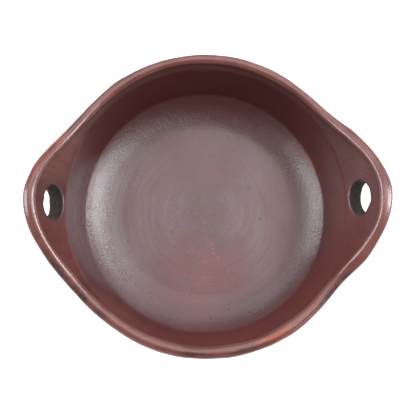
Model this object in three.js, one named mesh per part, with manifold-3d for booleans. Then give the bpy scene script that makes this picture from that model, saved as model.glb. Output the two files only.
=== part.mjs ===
// Round fired-clay cooking dish with two upswept, pierced lug handles.
//
// The dish is built up by hand from separate lumps of clay: a base disc, two wall rings, two lengths
// of rim coil, and for each handle a pierced web with a roll of clay along its edge. Each lump is one
// mesh, and a thin slip joint parts it from its neighbours.
//
// Millimetres, +Z up. The origin is the centre of the foot, +X points at the right handle, and
// azimuths run counterclockwise from +X as seen from above. Profiles are drawn in (radius, height).

import * as THREE from 'three';
import { LoftGeometry } from 'three/addons/geometries/LoftGeometry.js';
import { mergeVertices } from 'three/addons/utils/BufferGeometryUtils.js';
import Module from 'manifold-3d';

const wasm = await Module();
wasm.setup();

// ---- Driving dimensions -------------------------------------------------------------------------

const slipJoint = 0.3; // gap between two lumps of clay

const mouthRadius = 109.3; // ridge where the bowl wall ends and the rim begins
const ridgeHeight = 55;
const floorThickness = 10;
const wallThickness = 9;
const wallSlope = THREE.MathUtils.degToRad( 70 ); // from the horizontal
const coveRadius = 48; // the floor curves up gently at first,
const coveTurn = THREE.MathUtils.degToRad( 37 ); // as far as this slope,
const footRadius = 6; // and then turns up sharply into the wall
const baseInset = 1.5; // from the start of the cove in to the edge of the base disc
const footEdge = 1; // chamfer round the foot, and how far the foot lifts the walls

const rimLip = 1.5; // the rim's outer edge, beyond the wall's outer face
const rimSetback = 1.7; // the rim's inner edge, beyond the ridge
const rimOuterDrift = new THREE.Vector2( - 0.9, 0.7 ); // the hand-made rim sits off centre
const rimInnerDrift = new THREE.Vector2( - 0.5, 1.6 );
const rimRise = 5.5; // centre of the rim's bead above the ridge
const beadHalfHeight = 4.2;
const beadSeat = THREE.MathUtils.degToRad( 35 ); // how far below its middle the bead meets the web

const rightLug = {
	side: 'right',
	azimuth: THREE.MathUtils.degToRad( 1.9 ),
	clockwiseSpread: 47, // half-widths along the rim, towards the front here
	counterSpread: 51, // and towards the back
	crest: 2.35, // 2 is a bell curve, more is a flatter top with steeper flanks
	outerReach: 22.4,
	innerReach: 20.6,
	rise: 22.5,
	padThickness: 1.5, // extra clay thumbed onto the wall under the web
	holeAzimuth: THREE.MathUtils.degToRad( 2.9 ),
	holeWidth: 26.6,
	holeHeight: 19.4,
	holeBridge: 4 // clay left between the finger hole and the wall's top
};

const leftLug = {
	side: 'left',
	azimuth: THREE.MathUtils.degToRad( 178 ),
	clockwiseSpread: 41, // towards the back here
	counterSpread: 54.5,
	crest: 2.05,
	outerReach: 20,
	innerReach: 18.6,
	rise: 22.5,
	padThickness: 2.8,
	holeAzimuth: THREE.MathUtils.degToRad( 179.6 ),
	holeWidth: 27,
	holeHeight: 19.5,
	holeBridge: 2.9
};

const lugs = [ rightLug, leftLug ];
const holeSlope = THREE.MathUtils.degToRad( 66 ); // the finger holes run square to this slope
const lugEnd = 0.04; // a lug piece ends where it has fallen to this share of its reach
const webBelly = new THREE.Vector2( 0.75, 0.35 ); // how full the web's underside is, outwards and up

// Where the potter's hands left the rim's outer edge fuller or flatter.
const handSwells = [
	{ azimuth: THREE.MathUtils.degToRad( 305 ), spread: THREE.MathUtils.degToRad( 28 ), reach: 1.1 },
	{ azimuth: THREE.MathUtils.degToRad( 340 ), spread: THREE.MathUtils.degToRad( 6.5 ), reach: 2.2 },
	{ azimuth: THREE.MathUtils.degToRad( 27 ), spread: THREE.MathUtils.degToRad( 6 ), reach: 1.4 },
	{ azimuth: THREE.MathUtils.degToRad( 4 ), spread: THREE.MathUtils.degToRad( 5 ), reach: 1 },
	{ azimuth: THREE.MathUtils.degToRad( 172 ), spread: THREE.MathUtils.degToRad( 5 ), reach: - 1 }
];

// ---- Facets -------------------------------------------------------------------------------------

const ringSteps = 96;
const arcStep = THREE.MathUtils.degToRad( 2.6 );
const coveSteps = 8;
const padSteps = 4;
const beadSteps = 11;
const webSteps = 6;
const holeSides = 40;

// ---- Derived sizes ------------------------------------------------------------------------------

const TURN = 2 * Math.PI;
const upWall = new THREE.Vector2( Math.cos( wallSlope ), Math.sin( wallSlope ) );
const throughWall = new THREE.Vector2( Math.sin( wallSlope ), - Math.cos( wallSlope ) );
const ridge = new THREE.Vector2( mouthRadius, ridgeHeight );

// The cove runs down from the foot of the wall: a sharp arc, then a gentle one, then the flat floor.
const turnSine = Math.sin( coveTurn );
const turnCosine = Math.cos( coveTurn );
const wallFootHeight = floorThickness + coveRadius * ( 1 - turnCosine ) + footRadius * ( turnCosine - upWall.x );
const wallFootRadius = mouthRadius - ( ridgeHeight - wallFootHeight ) / Math.tan( wallSlope );
const floorRadius = wallFootRadius - coveRadius * turnSine - footRadius * ( upWall.y - turnSine );
const baseRadius = floorRadius - baseInset;
const gentleCentre = new THREE.Vector2( floorRadius, floorThickness + coveRadius );
const sharpCentre = point( gentleCentre, new THREE.Vector2( turnSine, - turnCosine ), coveRadius - footRadius );
const coveEnd = covePoint( wallSlope, 0 );
const wallLength = ridge.distanceTo( coveEnd );

const rimInnerRadius = mouthRadius + rimSetback;
const rimOuterRadius = mouthRadius + wallThickness * throughWall.x + rimLip;
const beadSeatDrop = beadHalfHeight * Math.sin( beadSeat );

// ---- Small helpers ------------------------------------------------------------------------------

function point( start, direction, distance ) {

	return start.clone().addScaledVector( direction, distance );

}

function steps( count, make ) {

	return Array.from( { length: count + 1 }, ( _, i ) => make( i / count ) );

}

function turnsBetween( from, to ) {

	return THREE.MathUtils.euclideanModulo( to - from + Math.PI, TURN ) - Math.PI;

}

// ---- The bowl's profile -------------------------------------------------------------------------

// A point on the cove, at an angle from straight down, offset outwards through the clay.
function covePoint( angle, offset ) {

	const gentle = angle <= coveTurn;
	const radius = ( gentle ? coveRadius : footRadius ) + offset;
	return point( gentle ? gentleCentre : sharpCentre, new THREE.Vector2( Math.sin( angle ), - Math.cos( angle ) ), radius );

}

// The clay thins evenly round the cove, from the raised heel to the wall.
function coveThickness( angle ) {

	return THREE.MathUtils.lerp( floorThickness - footEdge, wallThickness, angle / wallSlope );

}

// ---- The rim and the lugs -----------------------------------------------------------------------

// How far a lug has swollen out of the rim at an azimuth: 1 at its tip, falling away to 0.
function swell( lug, azimuth ) {

	const along = turnsBetween( lug.azimuth, azimuth ) * rimOuterRadius;
	const spread = along < 0 ? lug.clockwiseSpread : lug.counterSpread;
	return Math.exp( - Math.pow( Math.abs( along ) / spread, lug.crest ) );

}

function sumOverLugs( azimuth, size ) {

	return lugs.reduce( ( sum, lug ) => sum + lug[ size ] * swell( lug, azimuth ), 0 );

}

// How much fuller the rim's outer edge is at an azimuth, from the hands.
function handSwell( azimuth ) {

	return handSwells.reduce( ( sum, s ) => {

		const away = turnsBetween( s.azimuth, azimuth ) / s.spread;
		return sum + s.reach * Math.exp( - away * away );

	}, 0 );

}

// Where a lug's pieces start and stop, as azimuths.
function lugSpan( lug ) {

	const tails = Math.pow( - Math.log( lugEnd ), 1 / lug.crest ) / rimOuterRadius;
	return {
		from: lug.azimuth - lug.clockwiseSpread * tails,
		to: lug.azimuth + lug.counterSpread * tails
	};

}

// Everything that shapes the rim's cross-section at one azimuth.
function rimSection( azimuth ) {

	const heading = new THREE.Vector2( Math.cos( azimuth ), Math.sin( azimuth ) );
	const inner = rimInnerRadius + rimInnerDrift.dot( heading ) + sumOverLugs( azimuth, 'innerReach' );
	const drifted = rimOuterRadius + rimOuterDrift.dot( heading ) + handSwell( azimuth );
	const outer = drifted + sumOverLugs( azimuth, 'outerReach' );
	const height = ridgeHeight + rimRise + sumOverLugs( azimuth, 'rise' );
	const pad = sumOverLugs( azimuth, 'padThickness' );
	return {
		centre: new THREE.Vector2( ( inner + outer ) / 2, height ),
		halfWidth: ( outer - inner ) / 2,
		seatInner: ridge,
		seatOuter: point( ridge, throughWall, wallThickness + pad )
	};

}

// The bead's outline from its inner seat over the top to its outer seat, lifted by a joint if asked.
function beadArc( section, lift ) {

	const seat = Math.asin( ( beadSeatDrop - lift ) / beadHalfHeight );
	return steps( beadSteps, ( t ) => {

		const angle = THREE.MathUtils.lerp( Math.PI + seat, - seat, t );
		return new THREE.Vector2(
			section.centre.x + section.halfWidth * Math.cos( angle ),
			section.centre.y + beadHalfHeight * Math.sin( angle )
		);

	} );

}

// The two places where the web's faces meet the bead.
function beadSeats( section ) {

	const inset = section.halfWidth * Math.cos( beadSeat );
	return [ - inset, inset ].map( ( x ) => new THREE.Vector2(
		section.centre.x + x,
		section.centre.y - beadSeatDrop
	) );

}

// The web's rounded outer face, from the bead down to the top of the wall.
function webOuterFace( section, top ) {

	const foot = point( section.seatOuter, upWall, slipJoint );
	const belly = new THREE.Vector2(
		THREE.MathUtils.lerp( foot.x, top.x, webBelly.x ),
		THREE.MathUtils.lerp( foot.y, top.y, webBelly.y )
	);
	return new THREE.QuadraticBezierCurve( top, belly, foot ).getPoints( webSteps );

}

function rimProfile( azimuth ) {

	const section = rimSection( azimuth );
	const bead = beadArc( section, 0 );
	const outerSeat = bead.pop();
	return [ point( section.seatInner, upWall, slipJoint ), ...bead, ...webOuterFace( section, outerSeat ) ];

}

function webProfile( azimuth ) {

	const section = rimSection( azimuth );
	const [ inner, outer ] = beadSeats( section );
	inner.y -= slipJoint / 2;
	outer.y -= slipJoint / 2;
	return [ point( section.seatInner, upWall, slipJoint ), inner, ...webOuterFace( section, outer ) ];

}

function rollProfile( azimuth ) {

	return beadArc( rimSection( azimuth ), slipJoint / 2 );

}

// ---- Bodies swept round the bowl's axis ---------------------------------------------------------

// A profile is listed up its inner side, over the top and down its outer side.
function sectionAt( profile, azimuth ) {

	const cos = Math.cos( azimuth );
	const sin = Math.sin( azimuth );
	return profile( azimuth ).map( ( p ) => new THREE.Vector3( p.x * cos, p.x * sin, p.y ) );

}

function sweepRing( profile ) {

	return new LoftGeometry( steps( ringSteps, ( t ) => sectionAt( profile, ( t % 1 ) * TURN ) ) );

}

function sweepArc( profile, from, to ) {

	const trim = slipJoint / 2 / mouthRadius;
	const count = Math.ceil( ( to - from ) / arcStep );
	const sections = steps( count, ( t ) => {

		return sectionAt( profile, THREE.MathUtils.lerp( from + trim, to - trim, t ) );

	} );
	return new LoftGeometry( sections, { capStart: true, capEnd: true } );

}

// ---- Cutting ------------------------------------------------------------------------------------

function toSolid( geometry ) {

	const bare = new THREE.BufferGeometry();
	bare.setAttribute( 'position', geometry.getAttribute( 'position' ) );
	bare.setIndex( geometry.getIndex() );
	const merged = mergeVertices( bare, 1e-4 );
	return new wasm.Manifold( new wasm.Mesh( {
		numProp: 3,
		vertProperties: new Float32Array( merged.getAttribute( 'position' ).array ),
		triVerts: new Uint32Array( merged.getIndex().array )
	} ) );

}

function cut( geometry, tool ) {

	const mesh = toSolid( geometry ).subtract( toSolid( tool ) ).getMesh();
	const result = new THREE.BufferGeometry();
	result.setAttribute( 'position', new THREE.BufferAttribute( mesh.vertProperties, 3 ) );
	result.setIndex( new THREE.BufferAttribute( mesh.triVerts, 1 ) );
	result.computeVertexNormals();
	return result;

}

// An oval finger hole through the web, just above the wall's top.
function fingerHole( lug ) {

	const length = 2 * ( wallThickness + lug.outerReach + lug.rise );
	const oval = new THREE.CylinderGeometry( 1, 1, length, holeSides );
	oval.scale( lug.holeWidth / 2, 1, lug.holeHeight / 2 );

	const cos = Math.cos( lug.holeAzimuth );
	const sin = Math.sin( lug.holeAzimuth );
	const tangent = new THREE.Vector3( - sin, cos, 0 );
	const level = Math.sin( holeSlope );
	const axis = new THREE.Vector3( cos * level, sin * level, - Math.cos( holeSlope ) );
	const across = new THREE.Vector3().crossVectors( tangent, axis );
	const upHole = new THREE.Vector2( Math.cos( holeSlope ), level );
	const middle = point( ridge, upHole, lug.holeBridge + lug.holeHeight / 2 );
	oval.applyMatrix4( new THREE.Matrix4().makeBasis( tangent, axis, across ) );
	oval.translate( middle.x * cos, middle.x * sin, middle.y );
	return oval;

}

// ---- The lumps of clay --------------------------------------------------------------------------

function baseDisc() {

	const profile = [
		new THREE.Vector2( 0, 0 ),
		new THREE.Vector2( baseRadius - footEdge, 0 ),
		new THREE.Vector2( baseRadius, footEdge ),
		new THREE.Vector2( baseRadius, floorThickness ),
		new THREE.Vector2( 0, floorThickness )
	];
	return new THREE.LatheGeometry( profile, ringSteps ).rotateX( Math.PI / 2 );

}

// The coil round the base disc that turns the floor up into the wall.
function lowerWall() {

	const seam = baseRadius + slipJoint;
	const inside = steps( coveSteps, ( t ) => covePoint( t * wallSlope, 0 ) );
	const outside = steps( coveSteps, ( t ) => {

		const angle = ( 1 - t ) * wallSlope;
		return covePoint( angle, coveThickness( angle ) );

	} );
	const profile = [
		new THREE.Vector2( seam, floorThickness ),
		...inside,
		...outside,
		new THREE.Vector2( seam, footEdge )
	];
	return sweepRing( () => profile );

}

// The upper ring, thickened on its outside under each lug.
function upperWall() {

	return sweepRing( ( azimuth ) => {

		const pad = sumOverLugs( azimuth, 'padThickness' );
		const outside = steps( padSteps, ( t ) => {

			const height = THREE.MathUtils.lerp( wallLength, slipJoint, t );
			const padShare = THREE.MathUtils.smoothstep( height, slipJoint, wallLength );
			const thickness = wallThickness + pad * padShare;
			return point( point( coveEnd, upWall, height ), throughWall, thickness );

		} );
		return [ point( coveEnd, upWall, slipJoint ), ridge, ...outside ];

	} );

}

function lugWeb( lug ) {

	const span = lugSpan( lug );
	return cut( sweepArc( webProfile, span.from, span.to ), fingerHole( lug ) );

}

function lugRoll( lug ) {

	const span = lugSpan( lug );
	return sweepArc( rollProfile, span.from, span.to );

}

// ---- Assembly -----------------------------------------------------------------------------------

const clay = {
	floor: { color: 0x7c6066, roughness: 0.42 },
	wall: { color: 0x63403c, roughness: 0.4 },
	rim: { color: 0x84564f, roughness: 0.36 },
	lug: { color: 0x744a44, roughness: 0.4 }
};

const dish = new THREE.Group();

function add( name, geometry, finish ) {

	const mesh = new THREE.Mesh( geometry, new THREE.MeshStandardMaterial( { ...finish, metalness: 0 } ) );
	mesh.name = name;
	dish.add( mesh );

}

const rightSpan = lugSpan( rightLug );
const leftSpan = lugSpan( leftLug );

add( 'base_disc', baseDisc(), clay.floor );
add( 'lower_wall', lowerWall(), clay.floor );
add( 'upper_wall', upperWall(), clay.wall );
add( 'rim_back', sweepArc( rimProfile, rightSpan.to, leftSpan.from ), clay.rim );
add( 'rim_front', sweepArc( rimProfile, leftSpan.to, rightSpan.from + TURN ), clay.rim );

for ( const lug of lugs ) {

	add( `${ lug.side }_handle_web`, lugWeb( lug ), clay.lug );
	add( `${ lug.side }_handle_roll`, lugRoll( lug ), clay.rim );

}

export default dish;
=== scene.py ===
"""Looks for the clay cooking dish: fine meshes for its lumps of clay, burnished clay, a plain studio.

One continuous skin is laid out as a grid of profile rows and azimuth columns, and is then split at the
joints between the lumps of clay, so neighbouring pieces share their edges and their shading. Lengths are in
metres, azimuths run counterclockwise from +X, and profiles are drawn in (radius, height).
"""

import math

import bpy
import numpy as np
from mathutils import Matrix, Vector, noise
from mathutils.geometry import tessellate_polygon


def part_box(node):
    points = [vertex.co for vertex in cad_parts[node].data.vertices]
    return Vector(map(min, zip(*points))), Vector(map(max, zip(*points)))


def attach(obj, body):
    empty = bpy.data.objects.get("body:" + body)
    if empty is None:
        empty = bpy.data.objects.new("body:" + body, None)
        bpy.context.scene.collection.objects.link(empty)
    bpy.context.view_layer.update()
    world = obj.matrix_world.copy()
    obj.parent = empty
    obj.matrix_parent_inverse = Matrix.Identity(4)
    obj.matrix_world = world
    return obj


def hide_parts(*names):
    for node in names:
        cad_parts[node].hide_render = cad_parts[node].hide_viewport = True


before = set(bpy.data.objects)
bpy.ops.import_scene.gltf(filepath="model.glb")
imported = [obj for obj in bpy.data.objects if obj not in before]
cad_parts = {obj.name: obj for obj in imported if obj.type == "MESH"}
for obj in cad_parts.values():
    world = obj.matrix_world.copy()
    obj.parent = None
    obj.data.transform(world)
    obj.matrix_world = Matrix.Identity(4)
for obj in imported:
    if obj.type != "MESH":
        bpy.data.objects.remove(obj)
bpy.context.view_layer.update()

MM = 0.001

# ---- Sizes ------------------------------------------------------------------------------------------

base_low, base_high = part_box("base_disc")
base_radius = (base_high[0] - base_low[0]) / 2
floor_height = base_high[2]
ridge_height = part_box("upper_wall")[1][2]

wall_slope = math.radians(70)
wall_thickness = 9 * MM
cove_radius = 48 * MM
cove_turn = math.radians(37)
foot_radius = 6 * MM
mouth_radius = 109.3 * MM
foot_edge = 1 * MM

rim_setback = 1.7 * MM
rim_lip = 1.5 * MM
rim_outer_drift = (-0.9 * MM, 0.7 * MM)
rim_inner_drift = (-0.5 * MM, 1.6 * MM)
rim_rise = 5.5 * MM
bead_half_height = 4.2 * MM
bead_seat = math.radians(35)
web_belly = (0.75, 0.35)
hole_slope = math.radians(66)

LUGS = {
    "right": dict(
        azimuth=math.radians(1.9), clockwise=47 * MM, counter=51 * MM, crest=2.35,
        outer=22.4 * MM, inner=20.6 * MM, rise=22.5 * MM, pad=1.5 * MM,
        hole_azimuth=math.radians(2.9), hole_width=26.6 * MM, hole_height=19.4 * MM, bridge=4 * MM,
    ),
    "left": dict(
        azimuth=math.radians(178), clockwise=41 * MM, counter=54.5 * MM, crest=2.05,
        outer=20 * MM, inner=18.6 * MM, rise=22.5 * MM, pad=2.8 * MM,
        hole_azimuth=math.radians(179.6), hole_width=27 * MM, hole_height=19.5 * MM, bridge=2.9 * MM,
    ),
}
LUG_END = 0.04

# A burnishing crease along the front of the rim: place round the bead's section, spread and depth
crease_angle = math.radians(62)
crease_spread = math.radians(9)
crease_depth = 0.45 * MM

# Where the potter's hands left the rim's outer edge fuller or flatter: azimuth, spread and reach
HAND_SWELLS = [
    (math.radians(305), math.radians(28), 1.1 * MM),
    (math.radians(340), math.radians(6.5), 2.2 * MM),
    (math.radians(27), math.radians(6), 1.4 * MM),
    (math.radians(4), math.radians(5), 1.0 * MM),
    (math.radians(172), math.radians(5), -1.0 * MM),
]

# How much each corner of the profile is rounded, as the length taken off each side of it
ridge_round = 1.6 * MM
inner_seat_round = 0.9 * MM
outer_seat_round = 1.8 * MM
wall_top_round = 1.0 * MM
lip_round = 1.5 * MM

BEAD_SQUARENESS = 0.88  # 1 is an oval, less is squarer

FLOOR_START = 0.5 * MM  # the radius of the first row, round the pole in the floor's middle

COLUMNS = 360
FLOOR_STEPS = 18  # rows from the floor's middle to its joint, and so on up the inside and down the outside
FLOOR_EDGE_STEPS = 2
COVE_STEPS = 24
WALL_STEPS = 14
BEAD_STEPS = 36
COVE_OUTER_STEPS = 20
HEEL_STEPS = 4
SOLE_STEPS = 10
HOLE_REACH = 13  # columns each side of a finger hole's middle that its patch takes up
WEB_STEPS = 12  # rows up each face of a web
RING_STEPS = 7  # rings of faces between a hole patch's border and the hole's lip
LIP_STEPS = 5  # rings over the rounded lip
TUNNEL_STEPS = 9  # rings through the hole

# ---- Derived sizes ----------------------------------------------------------------------------------

up_wall = np.array([math.cos(wall_slope), math.sin(wall_slope)])
through_wall = np.array([math.sin(wall_slope), -math.cos(wall_slope)])
ridge = np.array([mouth_radius, ridge_height])
up_hole = np.array([math.cos(hole_slope), math.sin(hole_slope)])
through_hole = np.array([math.sin(hole_slope), -math.cos(hole_slope)])
turn_sine, turn_cosine = math.sin(cove_turn), math.cos(cove_turn)
wall_foot_height = (
    floor_height + cove_radius * (1 - turn_cosine) + foot_radius * (turn_cosine - up_wall[0])
)
wall_foot_radius = mouth_radius - (ridge_height - wall_foot_height) / math.tan(wall_slope)
floor_radius = wall_foot_radius - cove_radius * turn_sine - foot_radius * (up_wall[1] - turn_sine)
gentle_centre = np.array([floor_radius, floor_height + cove_radius])
sharp_centre = gentle_centre + (cove_radius - foot_radius) * np.array([turn_sine, -turn_cosine])
rim_inner_radius = mouth_radius + rim_setback
rim_outer_radius = mouth_radius + wall_thickness * through_wall[0] + rim_lip
seat_drop = bead_half_height * math.sin(bead_seat)

azimuths = np.arange(COLUMNS) * 2 * math.pi / COLUMNS


def cove_point(angle, offset):
    """A point round the cove, at an angle from straight down, offset outwards through the clay."""
    gentle = angle <= cove_turn
    radius = (cove_radius if gentle else foot_radius) + offset
    centre = gentle_centre if gentle else sharp_centre
    return centre + radius * np.array([math.sin(angle), -math.cos(angle)])


cove_end = cove_point(wall_slope, 0)
wall_length = float(np.linalg.norm(ridge - cove_end))

# ---- The rim and the lugs, for an array of azimuths ------------------------------------------------


def swell(lug, azimuth):
    """How far a lug has swollen out of the rim: 1 at its tip, falling away to 0."""
    along = ((azimuth - lug["azimuth"] + math.pi) % (2 * math.pi) - math.pi) * rim_outer_radius
    spread = np.where(along < 0, lug["clockwise"], lug["counter"])
    return np.exp(-np.abs(along / spread) ** lug["crest"])


def lug_sum(azimuth, size):
    return sum(lug[size] * swell(lug, azimuth) for lug in LUGS.values())


def hand_swell(azimuth):
    total = np.zeros_like(azimuth)
    for middle, spread, reach in HAND_SWELLS:
        away = (azimuth - middle + math.pi) % (2 * math.pi) - math.pi
        total += reach * np.exp(-((away / spread) ** 2))
    return total


def lug_columns(lug):
    """First and last column of a lug's pieces."""
    tail = (-math.log(LUG_END)) ** (1 / lug["crest"]) / rim_outer_radius
    first = (lug["azimuth"] - lug["clockwise"] * tail) * COLUMNS / (2 * math.pi)
    last = (lug["azimuth"] + lug["counter"] * tail) * COLUMNS / (2 * math.pi)
    return round(first), round(last)


def pair(radius, height):
    """Stacks radii and heights into profile points, one for each azimuth."""
    return np.stack(np.broadcast_arrays(radius, height), axis=-1)


def rim_frame(azimuth):
    """The places that shape the rim's cross-section at each azimuth."""
    cos, sin = np.cos(azimuth), np.sin(azimuth)
    inner = rim_inner_radius + rim_inner_drift[0] * cos + rim_inner_drift[1] * sin + lug_sum(azimuth, "inner")
    outer = rim_outer_radius + rim_outer_drift[0] * cos + rim_outer_drift[1] * sin + lug_sum(azimuth, "outer")
    outer = outer + hand_swell(azimuth)
    height = ridge_height + rim_rise + lug_sum(azimuth, "rise")
    thickness = wall_thickness + lug_sum(azimuth, "pad")
    centre = pair((inner + outer) / 2, height)
    half_width = (outer - inner) / 2
    inset = half_width * math.cos(bead_seat)
    seat_inner = centre - pair(inset, seat_drop)
    seat_outer = centre + pair(inset, -seat_drop)
    wall_top_inner = pair(ridge[0], np.full_like(azimuth, ridge[1]))
    wall_top_outer = wall_top_inner + thickness[:, None] * through_wall
    belly = wall_top_outer + (seat_outer - wall_top_outer) * np.array(web_belly)
    # The crease has its full depth along the front, comes and goes at the sides, and is gone at the back.
    crease = crease_depth * np.clip(0.55 - 1.3 * sin + 0.35 * np.sin(9 * azimuth), 0, 1)
    return dict(
        crease=crease,
        centre=centre, half_width=half_width, seat_inner=seat_inner, seat_outer=seat_outer,
        wall_inner=wall_top_inner, wall_outer=wall_top_outer, belly=belly, thickness=thickness,
    )


def unit(v):
    return v / np.linalg.norm(v, axis=-1, keepdims=True)


def curve(a, b, c, t):
    """A point on the quadratic curve from a to c that bends towards b."""
    return (1 - t) ** 2 * a + 2 * t * (1 - t) * b + t ** 2 * c


def bead_point(f, angle):
    """A point round the bead, whose section is an oval pressed a little square."""
    cos, sin = math.cos(angle), math.sin(angle)
    across = math.copysign(abs(cos) ** BEAD_SQUARENESS, cos)
    upward = math.copysign(abs(sin) ** BEAD_SQUARENESS, sin)
    dip = f["crease"] * math.exp(-(((angle - crease_angle) / crease_spread) ** 2))
    return f["centre"] + pair(f["half_width"] * across - dip * cos, bead_half_height * upward - dip * sin)


def web_inner(f, t):
    """The web's inner face from the ridge (0) to the bead (1), between its rounded corners."""
    along = unit(f["seat_inner"] - f["wall_inner"])
    start = f["wall_inner"] + along * ridge_round
    end = f["seat_inner"] - along * inner_seat_round
    return start + (end - start) * np.asarray(t)[..., None]


def web_outer(f, t):
    """The web's outer face from the bead (0) to the wall's top (1), between its rounded corners."""
    span = np.linalg.norm(f["wall_outer"] - f["seat_outer"], axis=-1)
    first = np.minimum(outer_seat_round / span, 0.3)
    last = 1 - np.minimum(wall_top_round / span, 0.3)
    at = (first + (last - first) * np.asarray(t))[..., None]
    return curve(f["seat_outer"], f["belly"], f["wall_outer"], at)


# ---- Profile rows -----------------------------------------------------------------------------------

rows = []  # each is (COLUMNS, 2)
marks = {}  # names of rows, such as the joints between lumps of clay


def row(points):
    rows.append(np.broadcast_to(np.asarray(points, float), (COLUMNS, 2)).copy())
    return len(rows) - 1


def rows_between(count, make):
    """Rows at the insides of count equal steps and at their end."""
    for i in range(1, count + 1):
        row(make(i / count))


def corner(before, tip, after, name, steps=4):
    """Rounds a corner from the row already laid at before, names its middle row, and lays after."""
    for i in range(1, steps + 1):
        index = row(curve(before, tip, after, i / steps))
        if i == steps // 2:
            marks[name] = index


f = rim_frame(azimuths)
flat = np.array([1.0, 0.0])

# Inside, from the middle of the floor out to the ridge
row([FLOOR_START, floor_height])
rows_between(FLOOR_STEPS, lambda t: np.array([FLOOR_START + t * (base_radius - FLOOR_START), floor_height]))
marks["base_in"] = len(rows) - 1
floor_edge = floor_radius - base_radius
rows_between(FLOOR_EDGE_STEPS, lambda t: np.array([base_radius + t * floor_edge, floor_height]))
rows_between(COVE_STEPS, lambda t: cove_point(t * wall_slope, 0))
marks["wall_in"] = len(rows) - 1
wall_stop = ridge - up_wall * ridge_round
rows_between(WALL_STEPS, lambda t: cove_end + (wall_stop - cove_end) * t)
corner(f["wall_inner"] - up_wall * ridge_round, f["wall_inner"], web_inner(f, 0.0), "ridge_in")

# Up the web, over the bead and down the outside
marks["web_in_first"] = len(rows) - 1
rows_between(WEB_STEPS, lambda t: web_inner(f, t))
marks["web_in_last"] = len(rows) - 1
BEAD_FROM = math.pi + bead_seat - 0.2
BEAD_TO = -bead_seat + 0.3
corner(web_inner(f, 1.0), f["seat_inner"], bead_point(f, BEAD_FROM), "seat_in")
rows_between(BEAD_STEPS, lambda t: bead_point(f, BEAD_FROM + (BEAD_TO - BEAD_FROM) * t))
corner(bead_point(f, BEAD_TO), f["seat_outer"], web_outer(f, 0.0), "seat_out")
marks["web_out_first"] = len(rows) - 1
rows_between(WEB_STEPS, lambda t: web_outer(f, t))
marks["web_out_last"] = len(rows) - 1


def wall_outer(height):
    """The upper wall's outer face, at a distance up from the joint with the lower wall."""
    share = np.clip(height / wall_length, 0, 1)
    pad = (f["thickness"] - wall_thickness) * share ** 2 * (3 - 2 * share)
    return cove_end + up_wall * height + (wall_thickness + pad)[:, None] * through_wall


wall_shoulder = wall_length - wall_top_round
corner(web_outer(f, 1.0), f["wall_outer"], wall_outer(wall_shoulder), "ridge_out")
rows_between(WALL_STEPS, lambda t: wall_outer(wall_shoulder * (1 - t)))
marks["wall_out"] = len(rows) - 1


def cove_outer(angle):
    """The thickness thins evenly round the cove, from the raised heel to the wall."""
    thickness = floor_height - foot_edge + (wall_thickness - floor_height + foot_edge) * angle / wall_slope
    return cove_point(angle, thickness)


rows_between(COVE_OUTER_STEPS, lambda t: cove_outer(wall_slope * (1 - t)))
heel = np.array([base_radius, foot_edge])
row((cove_outer(0) + heel) / 2)
marks["base_out"] = row(heel + flat * 0.1 * MM)
sole_radius = base_radius - foot_edge
heel_start = heel - flat * 0.2 * MM
heel_corner = np.array([base_radius - 0.2 * MM, 0])
heel_end = np.array([sole_radius - 0.6 * MM, 0])
rows_between(HEEL_STEPS, lambda t: curve(heel_start, heel_corner, heel_end, t))
for i in range(SOLE_STEPS - 1, 0, -1):
    row([i / SOLE_STEPS * sole_radius, 0])

profile = np.stack(rows)  # (rows, columns, 2)

# ---- The skin ---------------------------------------------------------------------------------------

heading = np.stack([np.cos(azimuths), np.sin(azimuths)], axis=-1)
grid = np.concatenate([profile[..., :1] * heading[None], profile[..., 1:]], axis=-1)
points = [tuple(p) for p in grid.reshape(-1, 3)]
ROWS = len(rows)


def vertex(r, c):
    return r * COLUMNS + c % COLUMNS


def new_vertices(array):
    """Adds an array of points and returns their indices in the same shape."""
    flat_points = array.reshape(-1, 3)
    first = len(points)
    points.extend(tuple(p) for p in flat_points)
    return np.arange(first, first + len(flat_points)).reshape(array.shape[:-1])


skin = []  # (piece, face)
lug_range = {side: lug_columns(lug) for side, lug in LUGS.items()}
hole_range = {}
for side, lug in LUGS.items():
    middle = round(lug["hole_azimuth"] * COLUMNS / (2 * math.pi))
    hole_range[side] = (middle - HOLE_REACH, middle + HOLE_REACH)


def inside(c, span):
    return any(span[0] <= c + turn < span[1] for turn in (-COLUMNS, 0, COLUMNS))


def piece_at(r, c):
    """Which lump of clay the skin between rows r, r + 1 and columns c, c + 1 belongs to."""
    if r < marks["base_in"] or r >= marks["base_out"]:
        return "FloorDisc"
    if r < marks["wall_in"] or r >= marks["wall_out"]:
        return "LowerWall"
    if r < marks["ridge_in"] or r >= marks["ridge_out"]:
        return "UpperWall"
    for side, span in lug_range.items():
        if inside(c, span):
            part = "Roll" if marks["seat_in"] <= r < marks["seat_out"] else "Web"
            return side.capitalize() + "Handle" + part
    return "RimBack" if c < lug_range["left"][0] else "RimFront"


def in_hole_patch(r, c):
    web = (
        marks["web_in_first"] <= r < marks["web_in_last"]
        or marks["web_out_first"] <= r < marks["web_out_last"]
    )
    return web and any(inside(c, span) for span in hole_range.values())


for r in range(ROWS - 1):
    for c in range(COLUMNS):
        if not in_hole_patch(r, c):
            quad = (vertex(r, c), vertex(r + 1, c), vertex(r + 1, c + 1), vertex(r, c + 1))
            skin.append((piece_at(r, c), quad))

floor_pole = new_vertices(np.array([0.0, 0.0, floor_height]))[()]
under_pole = new_vertices(np.array([0.0, 0.0, 0.0]))[()]
for c in range(COLUMNS):
    skin.append(("FloorDisc", (int(floor_pole), vertex(0, c), vertex(0, c + 1))))
    skin.append(("FloorDisc", (int(under_pole), vertex(ROWS - 1, c + 1), vertex(ROWS - 1, c))))

# ---- Finger holes -----------------------------------------------------------------------------------


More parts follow.
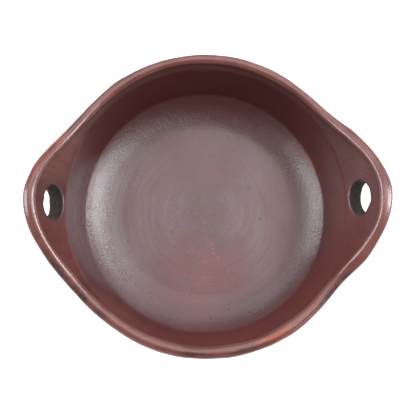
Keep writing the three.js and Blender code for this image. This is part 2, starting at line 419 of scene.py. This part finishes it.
def face_point(face, azimuth, t):
    """A point on a web's face, from its azimuth and its place between the face's first and last row."""
    p = face(rim_frame(azimuth), t)
    return np.stack([p[..., 0] * np.cos(azimuth), p[..., 0] * np.sin(azimuth), p[..., 1]], axis=-1)


def hole_axes(lug):
    """The hole's middle, its direction outwards, and the two directions across it."""
    cos, sin = math.cos(lug["hole_azimuth"]), math.sin(lug["hole_azimuth"])
    middle = ridge + up_hole * (lug["bridge"] + lug["hole_height"] / 2)
    centre = np.array([middle[0] * cos, middle[0] * sin, middle[1]])
    axis = np.array([cos * through_hole[0], sin * through_hole[0], through_hole[1]])
    across = np.array([-sin, cos, 0.0])
    upward = np.array([cos * up_hole[0], sin * up_hole[0], up_hole[1]])
    return centre, axis, across, upward


def on_face(face, lug, angle, grow, guess_azimuth, guess_t):
    """Where the oval grown by a margin meets a face, found by Newton's method on (azimuth, t)."""
    centre, _, across, upward = hole_axes(lug)
    want_u = (lug["hole_width"] / 2 + grow) * np.cos(angle)
    want_v = (lug["hole_height"] / 2 + grow) * np.sin(angle)
    azimuth, t = guess_azimuth.copy(), guess_t.copy()
    step = 1e-4

    def offsets(a, s):
        p = face_point(face, a, s) - centre
        return p @ across - want_u, p @ upward - want_v

    for _ in range(12):
        u, v = offsets(azimuth, t)
        ua, va = offsets(azimuth + step, t)
        ut, vt = offsets(azimuth, t + step)
        duda, dvda = (ua - u) / step, (va - v) / step
        dudt, dvdt = (ut - u) / step, (vt - v) / step
        det = duda * dvdt - dudt * dvda
        azimuth = azimuth - (u * dvdt - v * dudt) / det
        t = t - (v * duda - u * dvda) / det
    return azimuth, t


def patch_border(first_row, columns, rising):
    """The grid's vertices round a hole patch, with their azimuth and their place on the face."""
    start, stop = columns
    walk = [(0, c) for c in range(start, stop)]
    walk += [(i, stop) for i in range(WEB_STEPS)]
    walk += [(WEB_STEPS, c) for c in range(stop, start, -1)]
    walk += [(i, start) for i in range(WEB_STEPS, 0, -1)]
    level = np.array([i if rising else WEB_STEPS - i for i, _ in walk])
    column = np.array([c for _, c in walk])
    index = np.array([vertex(first_row + i, c) for i, c in zip(level, column)])
    return index, column * 2 * math.pi / COLUMNS, level / WEB_STEPS


def add_rings(piece, rings, way):
    """Faces between rings of equal length, wound to face along the hole's axis (1) or against it (-1)."""
    size = len(rings[0])
    for outer, inner in zip(rings, rings[1:]):
        for k in range(size):
            n = (k + 1) % size
            quad = (int(outer[k]), int(outer[n]), int(inner[n]), int(inner[k]))
            skin.append((piece, quad if way > 0 else quad[::-1]))


def cut_hole(side, lug):
    """Lays rings of faces from both faces of a web over a rounded lip and through the hole."""
    piece = side.capitalize() + "HandleWeb"
    centre, axis, across, upward = hole_axes(lug)
    inner_side = (web_inner, patch_border(marks["web_in_first"], hole_range[side], True), 1)
    outer_side = (web_outer, patch_border(marks["web_out_first"], hole_range[side], False), -1)

    angles = []
    for face, (_, azimuth, t), _ in (inner_side, outer_side):
        p = face_point(face, azimuth, t) - centre
        angles.append(np.arctan2((p @ upward) / lug["hole_height"], (p @ across) / lug["hole_width"]))
    angle = angles[0] + ((angles[1] - angles[0] + math.pi) % (2 * math.pi) - math.pi) / 2

    ends = []
    for face, (index, azimuth, t), into in (inner_side, outer_side):
        guess = (np.full_like(azimuth, lug["hole_azimuth"]), np.full_like(t, 0.5))
        edge = face_point(face, *on_face(face, lug, angle, 0.0, *guess))
        lip_azimuth, lip_t = on_face(face, lug, angle, lip_round, *guess)
        rings = [index]
        for i in range(1, RING_STEPS + 1):
            share = 1 - (1 - i / RING_STEPS) ** 1.35
            ring = face_point(face, azimuth + (lip_azimuth - azimuth) * share, t + (lip_t - t) * share)
            rings.append(new_vertices(ring))
        lip = face_point(face, lip_azimuth, lip_t)
        wall = edge + axis * into * lip_round
        for i in range(1, LIP_STEPS + 1):
            rings.append(new_vertices(curve(lip, edge, wall, i / LIP_STEPS)))
        hole_vertices.update(int(v) for ring in rings[-3:] for v in ring)
        ends.append((rings[-1], wall))
        add_rings(piece, rings, -into)

    (inner_ring, inner_wall), (outer_ring, outer_wall) = ends
    tunnel = [inner_ring]
    for i in range(1, TUNNEL_STEPS):
        tunnel.append(new_vertices(inner_wall + (outer_wall - inner_wall) * i / TUNNEL_STEPS))
    tunnel.append(outer_ring)
    hole_vertices.update(int(v) for ring in tunnel for v in ring)
    add_rings(piece, tunnel, -1)


hole_vertices = set()
for side, lug in LUGS.items():
    cut_hole(side, lug)

# ---- Hand-made unevenness, and the skin's normals ----------------------------------------------------

skin_points = np.array(points)


def skin_normals():
    """Area-weighted vertex normals of the whole skin, so that they match across the joints."""
    normals = np.zeros_like(skin_points)
    for size in (3, 4):
        faces = np.array([face for _, face in skin if len(face) == size])
        corners = skin_points[faces]
        if size == 3:
            area = np.cross(corners[:, 1] - corners[:, 0], corners[:, 2] - corners[:, 0])
        else:
            area = np.cross(corners[:, 2] - corners[:, 0], corners[:, 3] - corners[:, 1])
        for k in range(size):
            np.add.at(normals, faces[:, k], area)
    length = np.linalg.norm(normals, axis=1, keepdims=True)
    return normals / np.where(length > 0, length, 1)


def unevenness(p, bead, hole):
    """How far the clay stands proud at a point, from the dents of hands and tools. None under the foot."""
    here = Vector(p)
    # Waves about 26, 11 and 5 mm long; the numbers in the brackets only pick places in the noise.
    slow = noise.noise(here * 38 + Vector((3.1, 0.7, 5.2)))
    quick = noise.noise(here * 95 + Vector((1.7, 8.2, 2.4)))
    ragged = noise.noise(here * 210 + Vector((6.3, 2.9, 7.7)))
    lift = min(1.0, max(0.0, (p[2] - 3 * MM) / (8 * MM)))
    dents = (0.30 + 0.25 * bead) * slow + (0.09 + 0.12 * bead) * quick
    return lift * (dents + hole * (0.5 * quick + 0.7 * ragged)) * MM


row_of = np.arange(len(points)) // COLUMNS
is_grid = np.arange(len(points)) < ROWS * COLUMNS
bead_middle = (marks["seat_in"] + marks["seat_out"]) / 2
bead_rows = marks["seat_out"] - marks["seat_in"]
outside_share = np.clip((row_of - bead_middle) / bead_rows + 0.5, 0, 1)
# Ring vertices of a hole patch aren't on the grid: they take their side from where they lie.
ring_radius = np.linalg.norm(skin_points[:, :2], axis=1)
past_web = (ring_radius - mouth_radius) - (skin_points[:, 2] - ridge_height)
ring_share = np.clip((past_web - 2 * MM) / (6 * MM), 0, 1)
outside_share = np.where(is_grid, outside_share, ring_share)
outside_share[int(floor_pole)] = 0
outside_share[int(under_pole)] = 1
bead_distance = np.minimum(row_of - marks["seat_in"] + 2, marks["seat_out"] + 2 - row_of)
bead_share = np.where(is_grid, np.clip(bead_distance / 5, 0, 1), 0)
ridge_share = np.where(is_grid, np.clip(1 - np.abs(row_of - marks["ridge_in"]) / 3, 0, 1), 0)
hole_share = np.zeros(len(points))
hole_share[list(hole_vertices)] = 1

normals = skin_normals()
lifts = [unevenness(*each) for each in zip(skin_points, bead_share, hole_share)]
skin_points += normals * np.array(lifts)[:, None]
normals = skin_normals()

# ---- Joints: the faces inside the clay that close each piece ----------------------------------------

caps = []  # (piece, face)


def strip(first_row, second_row, columns, above, below):
    """Closes two neighbouring pieces along a joint that runs round the bowl."""
    for c in columns:
        first = (vertex(first_row, c), vertex(first_row, c + 1))
        second = (vertex(second_row, c + 1), vertex(second_row, c))
        quad = first + second
        caps.append((above(c), quad))
        caps.append((below(c), quad[::-1]))


def end_cap(column, outline_rows, before, after):
    """Closes two pieces that meet end to end at a column, over the outline given by rows."""
    index = [vertex(r, column) for r in outline_rows]
    outline = [Vector((*profile[r, column % COLUMNS], 0)) for r in outline_rows]
    for triangle in tessellate_polygon([outline]):
        a, b, c = (outline[i] for i in triangle)
        face = tuple(index[i] for i in triangle)
        # In (radius, height), a triangle that turns counterclockwise faces back along the azimuth.
        if (b - a).cross(c - a).z < 0:
            face = face[::-1]
        caps.append((after, face))
        caps.append((before, face[::-1]))


def named(piece):
    """The same piece at every column."""
    return lambda c: piece


every_column = range(COLUMNS)
strip(marks["base_in"], marks["base_out"], every_column, named("LowerWall"), named("FloorDisc"))
strip(marks["wall_in"], marks["wall_out"], every_column, named("UpperWall"), named("LowerWall"))
strip(
    marks["ridge_in"], marks["ridge_out"], every_column,
    lambda c: piece_at(marks["ridge_in"], c % COLUMNS), named("UpperWall"),
)
web_outline = list(range(marks["ridge_in"], marks["seat_in"] + 1))
web_outline += range(marks["seat_out"], marks["ridge_out"] + 1)
roll_outline = list(range(marks["seat_in"], marks["seat_out"] + 1))
for side, (first, last) in lug_range.items():
    web, roll = side.capitalize() + "HandleWeb", side.capitalize() + "HandleRoll"
    strip(marks["seat_in"], marks["seat_out"], range(first, last), named(roll), named(web))
    rim_before = piece_at(marks["seat_in"], (first - 1) % COLUMNS)
    rim_after = piece_at(marks["seat_in"], last % COLUMNS)
    end_cap(first, web_outline, rim_before, web)
    end_cap(first, roll_outline, rim_before, roll)
    end_cap(last, web_outline, web, rim_after)
    end_cap(last, roll_outline, roll, rim_after)

# ---- Pieces -----------------------------------------------------------------------------------------


def build(piece):
    """Makes one closed mesh from its share of the skin and its joint faces."""
    faces = [(face, True) for name, face in skin if name == piece]
    faces += [(face, False) for name, face in caps if name == piece]
    used = sorted({v for face, _ in faces for v in face})
    renumber = {v: i for i, v in enumerate(used)}
    mesh = bpy.data.meshes.new(piece)
    mesh.from_pydata(
        [tuple(skin_points[v]) for v in used], [],
        [[renumber[v] for v in face] for face, _ in faces],
    )
    shares = {"outside": outside_share, "bead": bead_share, "hole": hole_share, "ridge": ridge_share}
    for name, values in shares.items():
        attribute = mesh.attributes.new(name, "FLOAT", "POINT")
        attribute.data.foreach_set("value", values[used].astype(np.float32))
    loop_normals = []
    for polygon, (face, on_skin) in zip(mesh.polygons, faces):
        polygon.use_smooth = on_skin
        loop_normals += [tuple(normals[v]) if on_skin else tuple(polygon.normal) for v in face]
    mesh.normals_split_custom_set(loop_normals)
    obj = bpy.data.objects.new(piece, mesh)
    bpy.context.scene.collection.objects.link(obj)
    return obj


# ---- Burnished clay ---------------------------------------------------------------------------------


class Shader:
    """A short way to write a material's node tree. Values are sockets, numbers or tuples."""

    def __init__(self, name):
        self.material = bpy.data.materials.new(name)
        self.material.use_nodes = True
        self.tree = self.material.node_tree
        self.surface = self.tree.nodes["Principled BSDF"]

    def node(self, kind, values=None, **settings):
        made = self.tree.nodes.new(kind)
        for key, value in settings.items():
            setattr(made, key, value)
        for key, value in (values or {}).items():
            self.feed(made.inputs[key], value)
        return made

    def feed(self, socket, value):
        if isinstance(value, bpy.types.NodeSocket):
            self.tree.links.new(value, socket)
        else:
            socket.default_value = value

    def math(self, operation, a, b=0.0):
        return self.node("ShaderNodeMath", {0: a, 1: b}, operation=operation).outputs[0]

    def add(self, first, *others):
        for other in others:
            first = self.math("ADD", first, other)
        return first

    def times(self, first, *others):
        for other in others:
            first = self.math("MULTIPLY", first, other)
        return first

    def rest(self, share):
        """What a share leaves of 1."""
        return self.math("SUBTRACT", 1.0, share)

    def ramp(self, value, low, high, to_low=0.0, to_high=1.0):
        """A smooth step from to_low at low to to_high at high."""
        values = {"Value": value, "From Min": low, "From Max": high, "To Min": to_low, "To Max": to_high}
        return self.node("ShaderNodeMapRange", values, interpolation_type="SMOOTHSTEP").outputs["Result"]

    def between(self, value, rise_from, rise_to, fall_from, fall_to):
        """1 in the middle of a band, falling smoothly to 0 at each side of it."""
        return self.times(self.ramp(value, rise_from, rise_to), self.ramp(value, fall_to, fall_from))

    def mix(self, share, a, b):
        made = self.node("ShaderNodeMix", {"Factor": share}, data_type="RGBA")
        self.feed(made.inputs[6], a)
        self.feed(made.inputs[7], b)
        return made.outputs[2]

    def noise(self, where, scale, detail, rough):
        values = {"Vector": where, "Scale": scale, "Detail": detail, "Roughness": rough}
        return self.node("ShaderNodeTexNoise", values).outputs["Fac"]

    def attribute(self, name):
        return self.node("ShaderNodeAttribute", attribute_name=name).outputs["Fac"]


CLAY_DEEP = (0.062, 0.014, 0.011, 1)
CLAY_RED = (0.124, 0.029, 0.025, 1)
CLAY_ROSE = (0.200, 0.048, 0.045, 1)
CLAY_RUBBED_AND_LIT = (0.230, 0.084, 0.073, 1)
EDGE_HIGHLIGHT = (0.300, 0.125, 0.105, 1)
CLAY_ORANGE = (0.430, 0.088, 0.036, 1)
SMOKE = (0.084, 0.054, 0.063, 1)
PALE_SMOKE_AND_SHEEN = (0.170, 0.134, 0.152, 1)
SOOT_AND_SHADE = (0.020, 0.018, 0.019, 1)
RAW = (0.052, 0.028, 0.019, 1)

CLAY_ROUGHNESS = 0.35
CLAY_IOR = 1.75
RELIEF_STRENGTH = 0.6
RELIEF_DEPTH = 0.3 * MM
CLIMB = 0.6  # how much a step up the wall counts as a step outwards, for patterns that follow the wheel


class Clay(Shader):
    """Red clay rubbed smooth before a smoky firing, with some light and shade painted into its colour.
    Lengths are in metres and directions in degrees.

    The methods from body to marks lay their colours one over another, and use shares made by those before.
    """

    def __init__(self, name):
        super().__init__(name)
        self.place = self.node("ShaderNodeTexCoord").outputs["Object"]
        self.x, y, self.z = self.node("ShaderNodeSeparateXYZ", {"Vector": self.place}).outputs
        self.plan = self.node("ShaderNodeCombineXYZ", {"X": self.x, "Y": y, "Z": 0.0}).outputs[0]
        self.radius = self.node("ShaderNodeVectorMath", {0: self.plan}, operation="LENGTH").outputs["Value"]
        outwards = self.node("ShaderNodeVectorMath", {0: self.plan}, operation="NORMALIZE")
        self.heading = outwards.outputs["Vector"]
        self.east, self.north, _ = self.node("ShaderNodeSeparateXYZ", {"Vector": self.heading}).outputs

        self.outside = self.attribute("outside")
        self.inside = self.rest(self.outside)
        self.bead = self.attribute("bead")
        self.off_bead = self.rest(self.bead)
        self.hole = self.attribute("hole")
        self.ridge_line = self.attribute("ridge")

        self.clouds = self.noise(self.place, 14.0, 4.0, 0.6)
        self.blotches = self.noise(self.place, 42.0, 4.0, 0.6)
        self.smears = self.noise(self.place, 120.0, 4.0, 0.6)
        self.pits = self.noise(self.place, 420.0, 4.0, 0.7)
        self.grain = self.noise(self.place, 900.0, 3.0, 0.6)
        self.rings = self.noise(self.polar(420.0, 1.6), 1.0, 3.0, 0.6)
        self.broad_rings = self.noise(self.polar(110.0, 0.9), 1.0, 2.0, 0.5)
        self.mottle = self.noise(self.polar(520.0, 48.0), 1.0, 5.0, 0.8)
        self.strokes = self.noise(self.polar(200.0, 95.0), 1.0, 3.0, 0.7)
        self.scuffs = self.noise(self.polar(45.0, 300.0), 1.0, 2.0, 0.6)
        self.drawn = self.noise(self.polar(500.0, 6.0), 1.0, 4.0, 0.6)

        self.wall = self.times(self.inside, self.off_bead)
        self.colour = self.mix(self.ramp(self.clouds, 0.35, 0.65, 0.1, 1.0), CLAY_DEEP, CLAY_RED)

    def polar(self, per_radius, per_turn):
        """Coordinates that follow the wheel: noise on them is drawn out round the bowl, or across it."""
        values = {
            "X": self.times(self.add(self.radius, self.times(self.z, CLIMB)), per_radius),
            "Y": self.times(self.east, per_turn),
            "Z": self.times(self.north, per_turn),
        }
        return self.node("ShaderNodeCombineXYZ", values).outputs[0]

    def towards(self, degrees, spread):
        """1 in one direction from the bowl's middle, falling to 0 at a spread to either side."""
        aim = (math.cos(math.radians(degrees)), math.sin(math.radians(degrees)), 0.0)
        dot = self.node("ShaderNodeVectorMath", {0: self.heading, 1: aim}, operation="DOT_PRODUCT")
        return self.ramp(dot.outputs["Value"], math.cos(math.radians(spread)), 1.0)

    def near(self, centre, reach):
        """1 at a place, falling to 0 at a distance from it."""
        away = self.node("ShaderNodeVectorMath", {0: self.plan, 1: centre}, operation="DISTANCE")
        return self.ramp(away.outputs["Value"], reach, 0.0)

    def paint(self, tint, *shares):
        """Lays a tint over the colour so far, as far as the product of the shares."""
        self.colour = self.mix(self.times(*shares), self.colour, tint)

    def body(self):
        """Uneven red clay, with painted shade darkening the back of the wall and painted light making its
        front rosier.
        """
        self.paint(CLAY_ROSE, self.ramp(self.blotches, 0.5, 0.75, 0.0, 0.4))
        # Painted shade: the back of the wall, which faces away from the light, is darkened.
        self.paint(CLAY_DEEP, self.wall, self.towards(95, 80), self.ramp(self.radius, 0.070, 0.090), 0.9)
        # Painted light: the front of the wall, which faces the light, is made rosier.
        self.paint(CLAY_ROSE, self.wall, self.towards(312, 110), 0.5)

    def smoke(self):
        """The floor and the cove took up smoke, all but a rosy ring and a patch towards the front. The grey
        reaching up the left wall is painted light, and the paler sides of the floor are part smoke, part
        painted reflection.
        """
        # The smoke's edge climbs the left wall, and a little the right one; the grey there is painted light
        # from the right side. It stops lower at the back.
        edge = self.add(
            self.radius,
            self.times(self.towards(182, 45), -0.012),
            self.times(self.towards(0, 40), -0.004),
            self.times(self.ramp(self.north, 0.0, 1.0), 0.016),
        )
        self.smoky = self.times(self.inside, self.ramp(edge, 0.100, 0.090))
        self.paint(SMOKE, self.smoky)

        # Paler patches at the left and right of the floor: part smoke bloom, part painted reflection of the
        # side lights.
        sides = self.times(
            self.ramp(self.math("ABSOLUTE", self.east), 0.30, 1.0),
            self.ramp(self.radius, 0.006, 0.028),
            self.ramp(self.x, 0.068, 0.044),
            self.ramp(self.broad_rings, 0.30, 0.60, 0.5, 1.0),
        )
        self.paint(PALE_SMOKE_AND_SHEEN, self.smoky, sides)

        ring = self.times(
            self.between(self.radius, 0.020, 0.038, 0.058, 0.082),
            self.ramp(self.add(self.broad_rings, self.times(self.blotches, 0.6)), 0.55, 1.05, 0.15, 0.85),
            self.rest(self.times(self.towards(90, 80), 0.55)),
        )
        patch = self.times(
            self.near((-0.012, -0.050, 0.0), 0.056),
            self.ramp(self.blotches, 0.30, 0.60, 0.45, 1.0),
        )
        rosy = self.times(self.math("MAXIMUM", ring, patch), self.rest(self.times(sides, 0.75)))
        self.rosy = self.times(self.smoky, rosy)
        self.paint(CLAY_ROSE, self.rosy)

    def turning(self):
        """Fine red and dark marks of the wheel and the burnishing stone, and painted shade darkening the back
        of the cove.
        """
        fine = self.add(
            self.times(self.ramp(self.rings, 0.35, 0.7), 0.35),
            self.times(self.ramp(self.mottle, 0.46, 0.58), 0.6),
        )
        self.paint(CLAY_RED, self.smoky, fine)
        self.paint(CLAY_DEEP, self.inside, self.ramp(self.mottle, 0.52, 0.40, 0.0, 0.45))
        # Painted shade: the back of the cove and the wall above it are darkened.
        self.paint(CLAY_DEEP, self.wall, self.towards(92, 75), self.ramp(self.radius, 0.060, 0.078), 0.75)

    def specks(self):
        """Grit shows through: orange specks in the rosy patch, and a few black ones anywhere."""
        cells = self.node("ShaderNodeTexVoronoi", {"Vector": self.place, "Scale": 260.0})
        speck = self.ramp(cells.outputs["Distance"], 0.30, 0.16)
        pick, other, _ = self.node("ShaderNodeSeparateXYZ", {"Vector": cells.outputs["Color"]}).outputs
        patch = self.near((0.006, -0.036, 0.0), 0.034)
        self.paint(CLAY_ORANGE, speck, self.ramp(pick, 0.74, 0.76), patch, 0.7)
        self.black = self.times(speck, self.ramp(other, 0.975, 0.98), 0.8)
        self.paint(SOOT_AND_SHADE, self.black)

    def rubbing(self):
        """The bead is rubbed paler and the webs are scuffed; painted highlights line the bead's inner edge
        and the ridge, and painted light makes the upper left web paler.
        """
        self.paint(CLAY_RUBBED_AND_LIT, self.bead, self.ramp(self.blotches, 0.3, 0.7, 0.35, 0.85))
        # Painted highlight: a pale line along the bead's inner edge, where the sharp edge catches the light.
        inner_edge_highlight = self.between(self.outside, 0.10, 0.19, 0.24, 0.34)
        self.paint(EDGE_HIGHLIGHT, inner_edge_highlight, self.bead, self.ramp(self.blotches, 0.3, 0.6, 0.3, 0.8))
        # Painted highlight along the ridge between the wall and the web, where its convex edge catches the
        # light; strongest on the left.
        left = self.add(self.towards(178, 50), 0.05)
        self.paint(CLAY_RUBBED_AND_LIT, self.ridge_line, self.ramp(self.blotches, 0.40, 0.62, 0.1, 0.6), left)
        web = self.times(self.ramp(self.z, 0.054, 0.060), self.off_bead)
        self.paint(SMOKE, web, self.ramp(self.scuffs, 0.58, 0.72, 0.0, 0.35))
        # Partly scuffs and partly painted light: the upper web on the left is paler where light falls on it.
        scuffs_and_light = self.times(self.towards(160, 16), self.ramp(self.scuffs, 0.35, 0.6, 0.1, 0.6))
        self.paint(CLAY_RUBBED_AND_LIT, web, self.inside, scuffs_and_light)
        warm = self.times(self.towards(163, 13), self.ramp(self.outside, 0.35, 0.55))
        self.paint(CLAY_ORANGE, self.bead, warm, self.ramp(self.blotches, 0.3, 0.6, 0.0, 0.25))

    def marks(self):
        """Soot where flames touched the rim and the underside, painted shade along the front crease of the
        rim, a chip, and raw clay in the finger holes.
        """
        smudge = self.times(
            self.math("MAXIMUM", self.towards(212, 19), self.towards(327, 11)),
            self.ramp(self.outside, 0.40, 0.62),
            self.ramp(self.smears, 0.35, 0.62),
        )
        # Painted shade and dark reflection along the crease on the front of the rim.
        crease_shade = self.times(
            self.towards(276, 30),
            self.between(self.outside, 0.42, 0.55, 0.60, 0.75),
            self.ramp(self.drawn, 0.42, 0.56),
            0.6,
        )
        # Soot over the smudges, and painted shade over the crease line.
        self.paint(SOOT_AND_SHADE, self.add(smudge, crease_shade), self.bead, 0.85)
        self.chip = self.times(
            self.towards(297, 9),
            self.between(self.outside, 0.38, 0.46, 0.52, 0.62),
            self.ramp(self.drawn, 0.36, 0.52),
            self.bead,
        )
        self.paint(CLAY_ORANGE, self.chip, 0.8)
        low = self.times(self.outside, self.ramp(self.z, 0.045, 0.0))
        self.sooty = self.times(low, self.ramp(self.clouds, 0.35, 0.6, 0.25, 0.9))
        self.paint(SOOT_AND_SHADE, self.sooty)
        self.paint(self.mix(self.ramp(self.pits, 0.40, 0.62), SOOT_AND_SHADE, RAW), self.hole)

    def roughness(self):
        """Glossiest on the rubbed bead, then where the inside is smoked; dull where it is raw or sooty."""
        return self.add(
            self.times(self.add(self.blotches, -0.5), 0.14),
            self.times(self.add(self.strokes, -0.5), 0.12),
            self.times(self.bead, -0.11),
            self.times(self.smoky, -0.06),
            self.times(self.hole, 0.65),
            self.times(self.rosy, 0.08),
            self.times(self.sooty, 0.2),
            CLAY_ROUGHNESS,
        )

    def relief(self):
        """The height of the finest marks, stronger on the cove and strongest in the finger holes."""
        cove = self.times(self.inside, self.between(self.radius, 0.070, 0.082, 0.098, 0.106), 0.5)
        return self.add(
            self.times(self.rings, 0.4),
            self.times(self.strokes, self.add(cove, 0.35)),
            self.times(self.grain, self.add(cove, 0.6)),
            self.times(self.blotches, 0.5),
            self.times(self.mottle, 0.35),
            self.times(self.hole, self.pits, 6.0),
            self.times(self.add(self.chip, self.black), -0.6),
        )


def burnished_clay(name):
    """Lays all the marks in order and wires them to the surface."""
    clay = Clay(name)
    clay.body()
    clay.smoke()
    clay.turning()
    clay.specks()
    clay.rubbing()
    clay.marks()
    clay.feed(clay.surface.inputs["Base Color"], clay.colour)
    clay.feed(clay.surface.inputs["Roughness"], clay.roughness())
    clay.surface.inputs["IOR"].default_value = CLAY_IOR
    values = {"Height": clay.relief(), "Strength": RELIEF_STRENGTH, "Distance": RELIEF_DEPTH}
    clay.feed(clay.surface.inputs["Normal"], clay.node("ShaderNodeBump", values).outputs[0])
    return clay.material


FINISHES = {
    "floor_clay": burnished_clay("FloorClay"),
    "cove_clay": burnished_clay("CoveClay"),
    "wall_clay": burnished_clay("WallClay"),
    "rim_clay": burnished_clay("RimClay"),
    "handle_clay": burnished_clay("HandleClay"),
}

PIECES = {
    "FloorDisc": ("base_disc", "floor_clay"),
    "LowerWall": ("lower_wall", "cove_clay"),
    "UpperWall": ("upper_wall", "wall_clay"),
    "RimBack": ("rim_back", "rim_clay"),
    "RimFront": ("rim_front", "rim_clay"),
    "RightHandleWeb": ("right_handle_web", "handle_clay"),
    "RightHandleRoll": ("right_handle_roll", "rim_clay"),
    "LeftHandleWeb": ("left_handle_web", "handle_clay"),
    "LeftHandleRoll": ("left_handle_roll", "rim_clay"),
}

for name, (node, finish) in PIECES.items():
    piece = build(name)
    piece.data.materials.append(FINISHES[finish])
    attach(piece, "root")
    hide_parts(node)

# ---- Floor, lights and camera -----------------------------------------------------------------------

LAMP_COLOUR = (0.97, 0.99, 1.0)
SKY_COLOUR = (0.93, 0.96, 1.0, 1)
SKY_STRENGTH = 0.14


def pale_floor():
    mesh = bpy.data.meshes.new("Floor")
    half, level = 3.0, -0.4 * MM
    corners = [(-half, -half, level), (half, -half, level), (half, half, level), (-half, half, level)]
    mesh.from_pydata(corners, [], [(0, 1, 2, 3)])
    floor = bpy.data.objects.new("Floor", mesh)
    bpy.context.scene.collection.objects.link(floor)
    s = Shader("PaleFloor")
    s.surface.inputs["Base Color"].default_value = (0.86, 0.86, 0.86, 1)
    s.surface.inputs["Roughness"].default_value = 0.9
    s.surface.inputs["Emission Color"].default_value = (1, 1, 1, 1)
    s.surface.inputs["Emission Strength"].default_value = 0.9
    mesh.materials.append(s.material)


def around(azimuth, elevation, distance):
    """A place round the dish, from angles in degrees."""
    level = distance * math.cos(math.radians(elevation))
    return (
        level * math.cos(math.radians(azimuth)),
        level * math.sin(math.radians(azimuth)),
        distance * math.sin(math.radians(elevation)),
    )


def softbox(name, place, aim, width, height, brightness):
    """A rectangular light. brightness is its radiance, so a bigger box also gives more light."""
    light = bpy.data.lights.new(name, "AREA")
    light.shape = "RECTANGLE"
    light.size = width
    light.size_y = height
    light.energy = brightness * math.pi * width * height
    light.color = LAMP_COLOUR
    lamp = bpy.data.objects.new(name, light)
    lamp.location = place
    lamp.rotation_euler = (Vector(aim) - Vector(place)).to_track_quat("-Z", "Y").to_euler()
    bpy.context.scene.collection.objects.link(lamp)


pale_floor()
middle = (0.0, 0.0, ridge_height)
softbox("Overhead", around(100, 81, 1.6), middle, 0.80, 0.46, 2.45)
softbox("RightTop", around(14, 68, 1.5), middle, 0.90, 0.40, 3.0)
softbox("Right", around(3, 43, 1.25), middle, 0.46, 0.58, 13.4)
softbox("RightBack", around(52, 36, 1.25), middle, 0.80, 0.50, 1.9)
softbox("BackTop", around(105, 52, 1.5), middle, 1.1, 0.6, 1.9)
softbox("Left", around(177, 40, 1.25), middle, 0.66, 0.56, 7.6)

world = bpy.data.worlds.new("Studio")
world.use_nodes = True
world.node_tree.nodes["Background"].inputs["Color"].default_value = SKY_COLOUR
world.node_tree.nodes["Background"].inputs["Strength"].default_value = SKY_STRENGTH
bpy.context.scene.world = world

CAMERA_DISTANCE = 1.05
ELEVATION = math.radians(81.8)
LEFT_OF_FRONT = math.radians(14.7)
IMAGE_WIDTH = 0.3245  # how much the view takes in at the height of the ridge
FRAMING = (1.33 * MM, -1.29 * MM)  # how far the view's middle lies right of and above the mouth's


def set_camera():
    out = Vector((
        -math.cos(ELEVATION) * math.sin(LEFT_OF_FRONT),
        -math.cos(ELEVATION) * math.cos(LEFT_OF_FRONT),
        math.sin(ELEVATION),
    ))
    right = (-out).cross(Vector((0, 1, 0))).normalized()
    up = right.cross(-out)
    camera = bpy.data.cameras.new("Camera")
    camera.sensor_width = 36
    camera.lens = camera.sensor_width * CAMERA_DISTANCE / IMAGE_WIDTH
    holder = bpy.data.objects.new("Camera", camera)
    place = Vector(middle) + out * CAMERA_DISTANCE + right * FRAMING[0] + up * FRAMING[1]
    turn = Matrix((right, up, out)).transposed()
    holder.matrix_world = Matrix.Translation(place) @ turn.to_4x4()
    bpy.context.scene.collection.objects.link(holder)
    bpy.context.scene.camera = holder


set_camera()
bpy.context.scene.view_settings.view_transform = "Standard"
